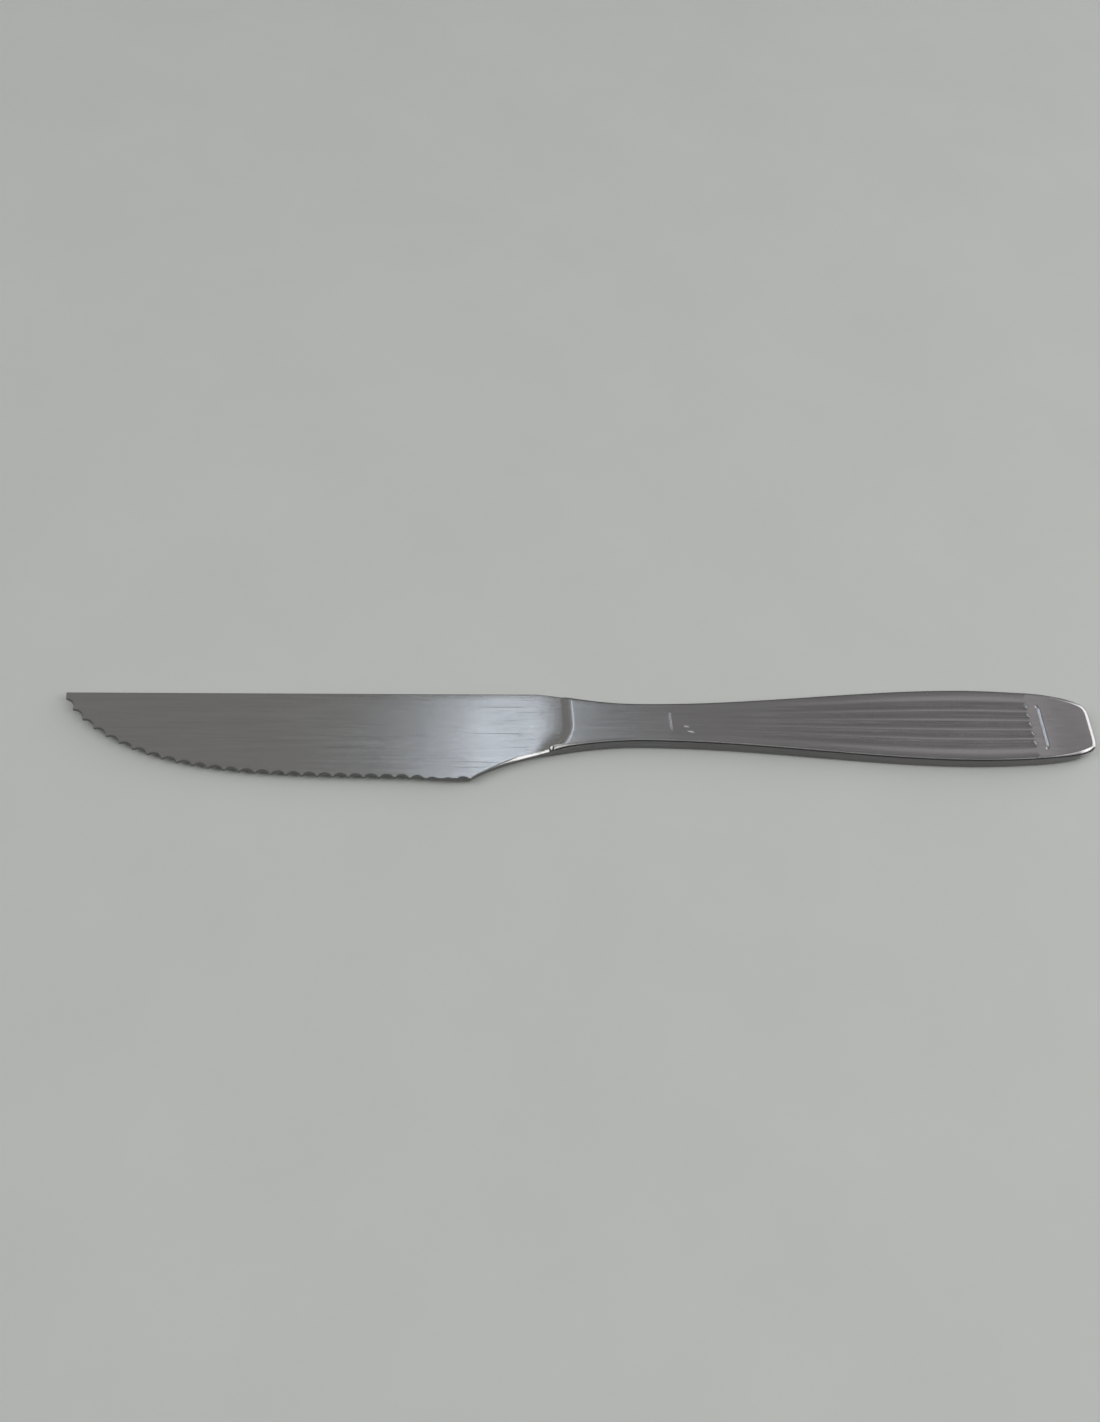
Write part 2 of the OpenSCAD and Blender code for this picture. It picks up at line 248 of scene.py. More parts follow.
# Steps along the knife, one number for each stretch
BELLY_STEPS = 160
RAY_STEPS = 60.0
HEEL_STEPS = (15, 36, 48, 4)
NECK_STEPS = (72,)
GRIP_STEPS = (1, 16, 15)
FLUTE_START_STEPS = 24
SWELL_STEPS = (64, 12, 16, 2, 20)
BUTT_STEPS = 36
LAST_BUTT_TURN = np.radians(89.2)


def clamp01(u):
    return np.clip(u, 0.0, 1.0)


def blend(a, b, u):
    return a + (b - a) * u


def even(steps):
    """Even shares from 0 to 1."""
    return np.linspace(0.0, 1.0, steps + 1)


def ease(u):
    """Smooth step from 0 to 1: 3 u squared less 2 u cubed."""
    c = clamp01(u)
    return c * c * (3.0 - 2.0 * c)


def fall(u, powers):
    """Falls from 1 to 0: one less u to the first power, all to the second power."""
    return (1.0 - clamp01(u) ** powers[0]) ** powers[1]


class Bar:
    """Outline, thickness and roundings of the whole bar, as functions of the place along it."""

    def __init__(self, knife):
        blade, sizes, flutes = knife.blade, knife.bar, knife.flutes
        self.blade, self.teeth, self.sizes, self.flutes = blade, knife.teeth, sizes, flutes
        self.shoulder_x, self.grip_x, self.butt_x = NECK_LOW[0], NECK_HIGH[0], GRIP_HIGH[0]
        self.plunge_x = self.shoulder_x - blade.shoulder_land
        self.tip_x = self.shoulder_x - blade.length
        self.heel_x = self.shoulder_x - blade.heel_back
        self.wide_x = self.butt_x - sizes.butt_len
        self.mid_z = sizes.thickness / 2
        self.waist_x = blend(self.shoulder_x, self.grip_x, WAIST_SHARE)
        self.spine_end_x = blend(self.shoulder_x, self.heel_x, SPINE_END_SHARE)
        self.flute_from = self.grip_x + flutes.start
        self.flute_to = self.butt_x - flutes.end
        self.butt_groove_x = self.butt_x - flutes.butt_groove_at
        self.grooves = (
            (self.grip_x + flutes.neck_groove_at, flutes.neck_groove_w,
             flutes.neck_groove_depth, NECK_GROOVE_SHARES, NECK_GROOVE_WALLS),
            (self.butt_groove_x, flutes.butt_groove_w, flutes.butt_groove_depth,
             BUTT_GROOVE_SHARES, BUTT_GROOVE_WALLS))

    def spine_y(self, x):
        """The spine is straight and falls evenly towards the tip."""
        b = self.blade
        return b.spine_rise - b.spine_fall * clamp01((self.shoulder_x - x) / b.length)

    def half_w(self, x):
        """Swells by a smooth step to its widest place, then ends in a squared-off oval."""
        b = self.sizes
        swell = clamp01((x - self.waist_x) / (self.wide_x - self.waist_x)) ** SWELL_POWER
        swollen = blend(b.neck_w, b.grip_w, ease(swell)) / 2
        v = clamp01((x - self.wide_x) / b.butt_len)
        closed = b.grip_w / 2 * (1.0 - v ** BUTT_POWERS[0]) ** (1.0 / BUTT_POWERS[1])
        return np.where(x < self.wide_x, swollen, closed)

    def upper_y(self, x):
        """Spine, then a long sweep down to the waist, then half the handle's width."""
        u = (x - self.spine_end_x) / (self.waist_x - self.spine_end_x)
        sweep = blend(self.sizes.neck_w / 2, self.spine_y(self.spine_end_x), fall(u, TOP_SWEEP))
        y = np.where(x < self.waist_x, sweep, self.half_w(x))
        return np.where(x <= self.spine_end_x, self.spine_y(x), y)

    def belly_y(self, x):
        """Nearly straight from the heel, then curling up to the tip by a power of the distance."""
        b = self.blade
        u = clamp01((self.heel_x - x) / (self.heel_x - self.tip_x))
        curl = 1.0 - (1.0 - u ** BELLY_POWER) ** POINT_POWER
        tip_low = self.spine_y(self.tip_x) - b.tip_height
        return blend(-b.heel_drop, tip_low, blend(curl, u, BELLY_SLOPE_SHARE))

    def lower_y(self, x):
        """Belly, then a sweep from the heel up to the waist, then half the handle's width."""
        u = (x - self.heel_x) / (self.waist_x - self.heel_x)
        sweep = -blend(self.sizes.neck_w / 2, self.blade.heel_drop, fall(u, HEEL_SWEEP))
        y = np.where(x < self.waist_x, sweep, -self.half_w(x))
        return np.where(x <= self.heel_x, self.belly_y(x), y)

    def plunge(self, x):
        """The hollow before the shoulder, a power of the distance, then a short steep step and a
        soft lip, both smooth steps. The hollow's end is rounded by a mean over the crest's length,
        weighted evenly down to both sides: a second difference of the double integral."""
        b, r = self.blade, self.blade.crest_r

        def total(at):
            u = clamp01(1.0 - (self.plunge_x - at) / b.plunge_len)
            past = np.maximum(at - self.plunge_x, 0.0)
            rise = (b.plunge_len ** 2 * u ** (PLUNGE_POWER + 2.0)
                    / ((PLUNGE_POWER + 1.0) * (PLUNGE_POWER + 2.0)))
            return rise + b.plunge_len / (PLUNGE_POWER + 1.0) * past + past ** 2 / 2.0

        def step(span):
            return ease((x - self.plunge_x - span[0]) / (span[1] - span[0]))
        hollow = (total(x + r) - 2.0 * total(x) + total(x - r)) / r ** 2
        return ((1.0 - STEP_SHARE - LIP_SHARE) * hollow + STEP_SHARE * step(STEP_SPAN)
                + LIP_SHARE * step(LIP_SPAN))

    def tip_thin(self, x):
        """The blade thins evenly towards the tip, to a share of its thickness."""
        return blend(1.0, TIP_T_SHARE, clamp01((self.shoulder_x - x) / self.blade.length))

    def section_t(self, x, v):
        """Thickness: a wedge from edge (v = -1) to spine (v = 1), brought up to the bar."""
        b = self.blade
        wedge = blend(b.edge_t, b.spine_t, (1.0 + v) / 2.0) * self.tip_thin(x)
        return blend(wedge, self.sizes.thickness, clamp01(self.plunge(x)))

    def butt_share(self, x):
        """Smooth step from the groove near the butt to the butt."""
        return ease((x - self.butt_groove_x) / self.flutes.butt_groove_at)

    def roll(self, x):
        """Radius of the rounding along the edges, which grows into the bar and round the butt."""
        b = self.sizes
        limit = ROLL_LIMIT_SHARE * (b.thickness / 2 - b.butt_fall)
        past = blend(b.edge_r, min(b.butt_r, limit), self.butt_share(x))
        before = blend(BLADE_R, b.edge_r, clamp01(self.plunge(x)))
        return np.where(x < self.shoulder_x, before, past)

    def rim(self, x):
        """Width, height and power of the rounding, which is wider and flatter round the butt."""
        share, r = self.butt_share(x), self.roll(x)
        return (r * (1.0 + RIM_WIDEN * share), r * (1.0 - RIM_FLATTEN * share),
                ROUND_POWER - RIM_POWER_DROP * share)

    def heel_share(self, x):
        """Where the lower edge is polished round: from the heel to the shoulder."""
        return (ease((x - self.heel_x - HEEL_FROM) / HEEL_RISE)
                * ease((self.shoulder_x - x) / HEEL_FALL))

    def edge_share(self, x):
        """How much of the side is cutting edge: it fades out over the last of the belly."""
        return ease((self.heel_x - x) / BEVEL_RUN_OUT)

    def bow(self, x):
        """How far the lower end of a station line curves to the tip, round the shoulder."""
        b = self.blade
        rising = clamp01(1.0 - (self.plunge_x - x) / b.plunge_len) ** BOW_POWER
        falling = clamp01((self.shoulder_x - x) / b.shoulder_land)
        return b.shoulder_bow * ease(np.where(x > self.plunge_x, falling, rising))

    def outward(self, x):
        """Direction of the rounding in plan: across the bar, and square to its end's outline."""
        slope = (self.half_w(x - SLOPE_STEP) - self.half_w(x)) / SLOPE_STEP
        slope = np.where(x <= self.wide_x, 0.0, slope)
        size = np.hypot(slope, 1.0)
        return slope / size, 1.0 / size

    def flute_cut(self, x, v):
        """Depth of the flutes, side by side: a power of the cosine across each one, so that the
        ridges are broad and round, scooped at both ends, and deeper towards the butt. The outer
        flank of the last one is wider. In the margin the face falls to the edge."""
        def scoop(d, run, power):
            return 1.0 - (1.0 - clamp01(d / run)) ** power
        reach = (scoop(x - self.flute_from, FLUTE_START, FLUTE_START_POWER)
                 * scoop(self.flute_to - x, FLUTE_STOP, FLUTE_STOP_POWER))
        run = FLUTE_DEEPEN_SHARE * (self.flute_to - self.flute_from)
        deep = blend(FLUTE_SHALLOW_SHARE, 1.0, ease((x - self.flute_from) / run))
        turn = np.abs(v) / FLUTE_PITCH_SHARE
        off = np.where(turn > SIDE_FLUTES, (turn - SIDE_FLUTES) / FLUTE_OUTER_SHARE,
                       np.abs(turn - np.round(turn)))
        trough = np.cos(np.pi / 2.0 * clamp01(4.0 * off / (reach + 1.0))) ** FLUTE_POWER
        past = clamp01((np.abs(v) - MARGIN_SHARE) / (1.0 - MARGIN_SHARE))
        margin = MARGIN_FALL_SHARE * past ** MARGIN_POWER
        return self.flutes.depth * deep * reach * (trough + margin)

    def nick_cut(self, x, v):
        """Depth of the two short nicks at the start of the lower flutes: the square of a sine along
        each one, and of a cosine across it."""
        turn = v / FLUTE_PITCH_SHARE
        near = np.round(turn)
        start = self.flute_from - NICK_BEFORE - NICK_STAGGER * (near - NICK_FLUTES[0])
        u = clamp01((x - start) / NICK_LENGTH)
        across = np.cos(np.pi / 2.0 * clamp01(np.abs(turn - near) / NICK_WIDTH_SHARE)) ** 2
        return NICK_DEPTH * np.sin(np.pi * u) ** 2 * across * np.isin(near, NICK_FLUTES)

    def groove_cut(self, x, v, at, width, depth, ends, walls):
        """Depth of a cross groove: one less a power of the distance from its bottom, running out
        at both ends. The shares of the width give its two walls, and the last one the power."""
        wall = np.where(x < at, walls[0], walls[1]) * width
        trough = 1.0 - clamp01(np.abs(x - at) / wall) ** walls[2]
        inside = np.minimum(v - ends[0], ends[1] - v)
        return depth * trough * clamp01(inside / GROOVE_END_SHARE)

    def face_z(self, x, v):
        """Height of a face over the middle of the bar."""
        pressed = self.flute_cut(x, v) + self.nick_cut(x, v)
        for groove in self.grooves:
            pressed = pressed + self.groove_cut(x, v, *groove)
        pressed = np.where(x < self.grip_x, 0.0, pressed)
        return self.section_t(x, v) / 2.0 - self.sizes.butt_fall * self.butt_share(x) - pressed


# Surfaces

def joined(x, y, z):
    """Points from three coordinates."""
    return np.stack(np.broadcast_arrays(x, y, z), axis=-1)


def quarter(power=ROUND_POWER):
    """Insets and drops of a quarter round, as shares of its width and height, from face to wall.
    With a power under 2 it leaves the face sooner, as a worn edge does."""
    reach = np.sin(np.linspace(0.0, np.pi / 2, ROLL_STEPS + 1))
    drop = 1.0 - np.sqrt(1.0 - np.minimum(reach ** power, 1.0))
    return np.broadcast_to(1.0 - reach, drop.shape), drop


def side_marks():
    """Where a side is as it was sheared: fading in over the start of its roundings. The mark makes
    the side rougher and darkens its colour as painted shade.
    """
    turn = np.linspace(0.0, 90.0, ROLL_STEPS + 1)
    fade = ease(turn / SHEARED_AND_PAINTED_SHADE_FROM_TURN)
    wall = np.ones(WALL_STEPS + BEVEL_STEPS - ROLL_STEPS - 1)
    return np.concatenate([fade, wall, fade[::-1]])[1:-1]


def side_profile(power=ROUND_POWER):
    """Inset down one side, through a quarter round, the wall and a quarter round, and three depth
    shares: of the front radius, of the wall and of the back radius."""
    inset, drop = quarter(power)
    flat = even(WALL_STEPS + BEVEL_STEPS - ROLL_STEPS)[1:-1]
    flat = np.broadcast_to(flat, inset.shape[:-1] + flat.shape)
    zero, one = np.zeros_like(flat), np.ones_like(flat)
    none, full = np.zeros_like(inset), np.ones_like(inset)
    rows = ((inset, zero, inset[..., ::-1]), (drop, one, full), (none, flat, full),
            (none, zero, 1.0 - drop[..., ::-1]))
    return [np.concatenate(row, axis=-1) for row in rows]


def side_z(middle, half, height, shares):
    """Height down a side, from its three depth shares."""
    front, wall, back = shares
    return middle + half - height * front - 2.0 * (half - height) * wall - height * back


def ring(front, edge, back, spine):
    """Closed rings from their four stretches. The sides' end points belong to the faces."""
    return np.concatenate([front, edge[:, 1:-1], back, spine[:, -2:0:-1]], axis=1)


def stretches(ends, steps):
    """Stations along stretches that follow each other, each in its number of steps."""
    parts = [np.linspace(*span, endpoint=False) for span in zip(ends, ends[1:], steps)]
    return np.concatenate(parts + [ends[-1:]])


def rings_of_bar(bar, stations, shares):
    """Closed rings round the bar, the number of points across a face, and the marks of the finish,
    which also paint shade on the sheared sides and in the flutes.
    Two parameters: the station x, and the place round the section, which runs over the front face
    from spine to edge, down the wall, and back under the knife."""
    x, v = stations[:, None], shares[None, :]
    roll, height, power = bar.rim(x)
    out_x, out_y = bar.outward(x)
    upper, lower = bar.upper_y(x), bar.lower_y(x)
    insets, *depth_shares = side_profile(power)
    y = blend(lower + roll * out_y, upper - roll * out_y, (1.0 + v) / 2.0)
    face = bar.face_z(x, v)
    front, back = (joined(x - roll * out_x, y, bar.mid_z + z) for z in (face, -face))
    side_x, in_y = x - roll * insets * out_x, roll * insets * out_y
    z = side_z(bar.mid_z, bar.face_z(x, 1.0), height, depth_shares)
    spine, edge = joined(side_x, upper - in_y, z), joined(side_x, lower + in_y, z)
    none, sides = np.zeros(shares.size), side_marks()
    # Painted shade: the sheared sides are darkened from the start of their roundings, except round
    # the polished rim
    polished = ease((bar.butt_share(x) - RIM_FROM) / RIM_RUN)
    sheared = np.concatenate([none, sides, none, sides[::-1]]) * (1.0 - polished)
    # Painted shade: the flutes' colour is darkened by a power of their depth, most in the hollows
    pressed = (bar.flute_cut(x, v) / bar.flutes.depth) ** PRESSED_AND_PAINTED_SHADE_POWER * (x > bar.grip_x)
    plain = np.zeros((x.size, sides.size))
    pressed = np.concatenate([pressed, plain, pressed[:, ::-1], plain], axis=1)
    marks = {"sheared": sheared, "pressed": pressed}
    return ring(front, edge, back[:, ::-1], spine), shares.size, marks


def link(name, data):
    """Adds an object to the scene."""
    thing = bpy.data.objects.new(name, data)
    bpy.context.scene.collection.objects.link(thing)
    return thing


def bar_object(name, rings, across, marks):
    """A closed solid through the rings, with a patch of quads over each end. Round a ring come the
    front face, a side, the back face and the other side. A face is across points wide."""
    count, around = rings.shape[:2]
    side = around // 2 - across
    first = np.arange((count - 1) * around).reshape(count - 1, around)
    beside = np.roll(first, -1, axis=1)
    faces = [np.stack([first, beside, beside + around, first + around], axis=-1).reshape(-1, 4)]
    points = [rings.reshape(-1, 3)]
    total = count * around
    rows = np.arange(1, side + 1)
    for end, turned in ((0, True), (count - 1, False)):
        base = end * around
        near, far = base + around - rows, base + across - 1 + rows
        left, right = points[0][near][:, None], points[0][far][:, None]
        inner = blend(left, right, even(across - 1)[1:-1, None])
        fresh = total + np.arange(inner.shape[0] * inner.shape[1]).reshape(inner.shape[:2])
        total += fresh.size
        points.append(inner.reshape(-1, 3))
        top = base + np.arange(across)
        bottom = base + across + side + np.arange(across)[::-1]
        grid = np.vstack([top, np.column_stack([near, fresh, far]), bottom])
        corners = [grid[:-1, :-1], grid[:-1, 1:], grid[1:, 1:], grid[1:, :-1]]
        faces.append(np.stack(corners[::-1] if turned else corners, axis=-1).reshape(-1, 4))
    mesh = bpy.data.meshes.new(name)
    mesh.from_pydata(np.concatenate(points).tolist(), [], np.concatenate(faces).tolist())
    mesh.validate()
    mesh.polygons.foreach_set("use_smooth", np.ones(len(mesh.polygons), dtype=bool))
    mesh.set_sharp_from_angle(angle=float(np.radians(SHARP_ANGLE)))
    for mark, values in marks.items():
        on_points = values.shape[0] == count
        filled = np.zeros(len(mesh.vertices if on_points else mesh.polygons), dtype=np.float32)
        filled[:values.size] = values.ravel()
        layer = mesh.attributes.new(mark, "FLOAT", "POINT" if on_points else "FACE")
        layer.data.foreach_set("value", filled)
    return link(name, mesh)


class Teeth:
    """Where the scallops are, and how far each one reaches in from the belly.

    A scallop is cut by a wheel, a cylinder that leans over the front face. At depth h under that
    face its section is an ellipse, R along the edge and R / cos(lean) across it, whose middle moves
    out by h tan(lean). Along a ray from a point of the belly the cut ends where the ray leaves the
    ellipse, which is the larger root of a quadratic."""

    def __init__(self, bar):
        self.bar = bar
        self.belly_x = blend(bar.tip_x, bar.heel_x, even(BELLY_STEPS) ** 2)
        strides = np.hypot(np.diff(self.belly_x), np.diff(bar.belly_y(self.belly_x)))
        self.runs = np.concatenate([[0.0], np.cumsum(strides)])
        self.length = self.runs[-1]
        self.count = int(np.floor(self.length / bar.teeth.pitch + 0.5))
        self.run = self.length / self.count
        self.bite = np.full(self.count, bar.teeth.depth * np.cos(WHEEL_LEAN))
        chord = self.run - POINT_FLAT
        self.radius = (chord ** 2 / 4.0 + self.bite[0] ** 2) / (2.0 * self.bite[0])
        self.bite[-len(RUN_OUT_SHARES):] *= RUN_OUT_SHARES
        self.centre_run = (np.arange(self.count) + 0.5) * self.run
        self.centre = self.at(self.centre_run)
        self.along, self.inward = self.directions(self.centre_run, self.run / 4.0)

    def at(self, run):
        """Point of the belly at a distance along it from the tip."""
        x = np.interp(run, self.runs, self.belly_x)
        return np.stack([x, self.bar.belly_y(x)], axis=-1)

    def directions(self, run, step):
        """Directions along the belly, over a step to both sides, and square to it."""
        along = self.at(run + step) - self.at(run - step)
        along = along / np.linalg.norm(along, axis=-1, keepdims=True)
        return along, np.stack([-along[..., 1], along[..., 0]], axis=-1)

    def rays(self, run):
        """Square to the belly, turning straight across the blade at both ends."""
        square = self.directions(run, self.run / RAY_STEPS)[1]
        keep = (ease(run / self.run) * ease((self.length - run) / (2.0 * self.run)))[..., None]
        ray = blend(np.array([0.0, 1.0]), square, keep)
        return ray / np.linalg.norm(ray, axis=-1, keepdims=True)

    def reach(self, start, ray, tooth, depth):
        """Distance along the ray to the end of the cut, or less than 0 where nothing is cut."""
        i = np.maximum(tooth, 0)
        off = start - self.centre[i]
        q, e = (off * self.along[i]).sum(-1), (off * self.inward[i]).sum(-1)
        dq, de = (ray * self.along[i]).sum(-1), (ray * self.inward[i]).sum(-1)
        c, tan = np.cos(WHEEL_LEAN), np.tan(WHEEL_LEAN)
        middle = (self.bite[i] - self.radius) / c
        q, e, dq, de, middle, cuts = (a[:, None] for a in (q, e, dq, de, middle, tooth >= 0))
        low = e - (middle - depth * tan)
        a = dq ** 2 + (de * c) ** 2
        b = q * dq + low * de * c * c
        outside = q ** 2 + (low * c) ** 2 - self.radius ** 2
        root = (-b + np.sqrt(np.maximum(b * b - a * outside, 0.0))) / a
        return np.where(cuts & (outside < 0.0), root, -1.0)

    def stations(self):
        """Distances along the belly, and the scallop that each one belongs to. The ends of each
        scallop, found by halving, are stations of their own, so that its points stay crisp."""
        tooth = np.arange(self.count)

        def end(side):
            inner, outer = self.centre_run.copy(), self.centre_run + side * self.run / 2.0
            for _ in range(HALVINGS):
                middle = (inner + outer) / 2.0
                cut = self.reach(self.at(middle), self.rays(middle), tooth,
                                 np.zeros((self.count, 1)))[:, 0] > 0.0
                inner, outer = np.where(cut, middle, inner), np.where(cut, outer, middle)
            return inner
        low, high = end(-1.0), end(1.0)
        turn = np.linspace(-1.0, 1.0, self.bar.teeth.steps + 1)
        turn = np.sin(turn) / np.sin(1.0)
        arc = (low + high)[:, None] / 2.0 + (high - low)[:, None] / 2.0 * turn[None, :]
        after = np.append(low[1:], self.length)
        gap = blend(high[:, None], after[:, None], np.array([[1.0 / 3.0, 2.0 / 3.0]]))
        run = np.concatenate([arc, gap], axis=1).ravel()
        owner = np.repeat(tooth, arc.shape[1] + gap.shape[1])
        return np.concatenate([[0.0, low[0] / 2.0], run]), np.concatenate([[0, 0], owner])


class BladeSurface:
    """Closed rings round the blade. Two parameters: the station, which runs along the belly from
    the tip and then along the heel sweep to the shoulder, and the place round the section. On the
    belly a station is a ray square to the edge, then a line straight up to the spine. Past the heel
    it is a straight line that curves to the tip at its lower end."""

    def __init__(self, bar):
        """Each value is a column, with a row for each station."""
        self.bar, self.teeth = bar, Teeth(bar)
        run, tooth = self.teeth.stations()
        belly, rays = self.teeth.at(run), self.teeth.rays(run)
        after = stretches((bar.heel_x, bar.plunge_x - bar.blade.plunge_len,
                           bar.plunge_x + STEP_SPAN[0], bar.plunge_x + LIP_SPAN[1],
                           bar.shoulder_x), HEEL_STEPS)
        line = after - bar.bow(after)
        self.start = np.concatenate([belly, np.stack([line, bar.lower_y(line)], axis=-1)])
        self.ray = np.concatenate([rays, np.tile([0.0, 1.0], (after.size, 1))])
        self.tooth = np.concatenate([tooth, np.full(after.size, -1)])
        self.x = x = np.concatenate([belly[:, 0], after])[:, None]
        self.start_x, self.start_y = self.start[:, :1], self.start[:, 1:]
        self.ray_x, self.ray_y = self.ray[:, :1], self.ray[:, 1:]
        self.keep, self.heel, self.roll = bar.edge_share(x), bar.heel_share(x), bar.roll(x)
        self.edge_t = bar.section_t(x, -1.0)
        free = BEVEL_REACH_SHARE * (bar.spine_y(x) - self.start_y) / self.ray_y
        self.band_w = np.minimum(FRONT_BAND, free)
        self.bevel_w = blend(self.roll, np.minimum(bar.teeth.bevel_w, free), self.keep)
        thinned = self.edge_t - EDGE_ROLL - bar.teeth.point_t * bar.tip_thin(x)
        self.bevel_h = blend(self.roll, thinned, self.keep)
        self.line_x, self.line_y = self.along_ray(self.band_w)
        self.upper_x = x + self.band_w * self.ray_x
        self.spine_x = self.line_x + bar.bow(x)
        self.spine_roll = bar.roll(self.upper_x)
        self.spine_end = bar.upper_y(self.spine_x) - self.spine_roll

    def along_ray(self, d):
        """Place on the ray at the distance d from the edge."""
        return self.start_x + d * self.ray_x, self.start_y + d * self.ray_y

    def scallop(self, depth):
        """How far the scallops reach in at a depth under the front face."""
        return self.teeth.reach(self.start, self.ray, self.tooth, depth)

    def bevel(self, k):
        """Inset and depth on the back, from k = 0 at the face to k = 1 at the wall: a quarter round
        that straightens into the bevel."""
        turn = k * np.pi / 2
        inset = self.bevel_w * blend(1.0 - np.sin(turn), 1.0 - k, self.keep)
        return inset, self.edge_t - self.bevel_h * blend(1.0 - np.cos(turn), k, self.keep)

    def bevel_start(self):
        """The share k where the bevel meets the scallop, found by halving, or else the wall."""
        inner, outer = np.zeros_like(self.x), np.ones_like(self.x)
        inset, depth = self.bevel(outer)
        at_wall = self.scallop(depth) <= inset
        for _ in range(HALVINGS):
            middle = (inner + outer) / 2.0
            inset, depth = self.bevel(middle)
            cut = self.scallop(depth) > inset
            inner, outer = np.where(cut, inner, middle), np.where(cut, middle, outer)
        return np.where(at_wall, 1.0, inner)

    def side(self):
        """Inset and depth down the side: the rounding, whose inset is a power of the height left,
        the wall, and the bevel. The inset is never less than the scallop's reach."""
        first = self.bevel_start()
        radius = np.maximum(blend(self.roll, EDGE_ROLL, self.keep), HEEL_ROLL * self.heel)
        power = ROUND_POWER - HEEL_POWER_DROP * self.heel
        wall = blend(radius, self.bevel(first)[1], even(WALL_STEPS)[1:])
        depth = np.concatenate([radius * quarter()[1], wall], axis=1)
        left = clamp01(1.0 - depth / radius)
        width = radius * (1.0 + HEEL_WIDEN * self.heel)
        inset = width * (1.0 - (1.0 - left ** power) ** (1.0 / power))
        inset = np.maximum(inset, self.scallop(depth))
        back_inset, back_depth = self.bevel(blend(first, 0.0, even(BEVEL_STEPS)[1:]))
        return (np.concatenate([inset, back_inset], axis=1),
                np.concatenate([depth, back_depth], axis=1))

    def on_face(self, x, y, side):
        """A point of a face: its thickness follows its place between edge and spine, and the lower
        half of its line curves to the tip by the square of the distance."""
        bar, bow = self.bar, self.bar.bow(self.x)
        low, high = bar.lower_y(x), bar.upper_y(x + bow)
        v = np.clip(2.0 * (y - low) / (high - low) - 1.0, -1.0, 1.0)
        z = bar.mid_z + side * bar.section_t(self.x + x - self.start_x, v) / 2.0
        return joined(x + bow * (1.0 - np.minimum(v, 0.0) ** 2), y, z)

    def faces(self, inset):
        """The front face, from the spine down to the band and along the ray to the edge, and the
        back face, from the bevel up to the spine."""
        high_y = blend(self.spine_end, self.line_y, even(FACE_STEPS))
        high_x = np.broadcast_to(self.line_x, high_y.shape)
        low_x, low_y = self.along_ray(blend(self.band_w, inset[:, :1], even(BAND_STEPS)[1:]))
        front = self.on_face(np.concatenate([high_x, low_x], axis=1),
                             np.concatenate([high_y, low_y], axis=1), 1.0)
        back_x, back_y = self.along_ray(self.bevel_w)
        rise = even(front.shape[1] - 1)
        back = self.on_face(blend(back_x, self.line_x, rise),
                            blend(back_y, self.spine_end, rise), -1.0)
        return front, back

    def rings(self):
        """The rings, the number of points across a face, and the marks of the finish, which also
        carry painted shade.
        """
        bar, roll = self.bar, self.spine_roll
        inset, depth = self.side()
        front, back = self.faces(inset)
        edge = joined(*self.along_ray(inset), bar.mid_z + self.edge_t / 2.0 - depth)
        insets, *depth_shares = side_profile()
        z = side_z(bar.mid_z, bar.section_t(self.upper_x, 1.0) / 2.0, roll, depth_shares)
        spine = joined(self.spine_x, self.spine_end + roll - roll * insets, z)
        rings, across = ring(front, edge, back, spine), front.shape[1]
        return rings, across, self.marks(rings.shape[:2], across)

    def marks(self, shape, across):
        """Faces that the wheel has ground, the bevel less so, and points on the sheared sides,
        which are polished along the heel sweep. Both marks also darken the steel's colour as
        painted shade, except where the sides are polished."""
        ground, sheared = np.zeros((shape[0] - 1, shape[1])), np.zeros(shape)
        on_belly = (self.tooth[:-1] >= 0) & (self.tooth[1:] >= 0)
        bevel_from = across - 1 + ROLL_STEPS + WALL_STEPS
        # Painted shade: the ground mark darkens the scallops' colour, and the bevel's by a share
        ground[on_belly, across - 1:bevel_from] = 1.0
        ground[on_belly, bevel_from:bevel_from + BEVEL_STEPS] = BEVEL_GROUND_AND_PAINTED_SHADE_SHARE
        sides = side_marks()
        sheared[self.tooth < 0, across:across + sides.size] = sides
        sheared[:, across:across + ROLL_STEPS - 1] *= 1.0 - HEEL_POLISH_SHARE * self.heel
        sheared[:, 2 * across + sides.size:] = sides[::-1]
        return {"ground": ground, "sheared": sheared}


def handle_stations(bar):
    """Closest together at the cross grooves and the flutes' ends. Past the last groove they follow
    a power of a sine, so that the squared-off end is stepped evenly."""
    (neck_x, neck_w, *_), (butt_x, butt_w, *_) = bar.grooves
    butt_len = bar.sizes.butt_len
    past_groove = (butt_x + butt_w - bar.wide_x) / butt_len
    first = np.arcsin(past_groove ** (BUTT_POWERS[0] / 2.0))
    turn = blend(first, LAST_BUTT_TURN, even(BUTT_STEPS))
    return np.concatenate([
        stretches((bar.grip_x, neck_x - neck_w / 2, neck_x + neck_w / 2, bar.flute_from),
                  GRIP_STEPS)[:-1],
        bar.flute_from + FLUTE_START * even(FLUTE_START_STEPS) ** 2,
        stretches((bar.flute_from + FLUTE_START, bar.wide_x, bar.flute_to - FLUTE_STOP,
                   bar.flute_to, butt_x - butt_w / 2, butt_x + butt_w / 2), SWELL_STEPS)[1:],
        bar.wide_x + butt_len * np.sin(turn) ** (2.0 / BUTT_POWERS[0])])


def handle_shares():
    """Places across the handle: close together over the flutes, wider apart in the margins."""
    limit = FLUTE_PITCH_SHARE * (SIDE_FLUTES + FLUTE_OUTER_SHARE / 2.0)
    margin = np.linspace(1.0, limit, MARGIN_POINTS)[:-1]
    return np.concatenate([margin, np.linspace(limit, -limit, FLUTE_POINTS), -margin[::-1]])


# Finishes

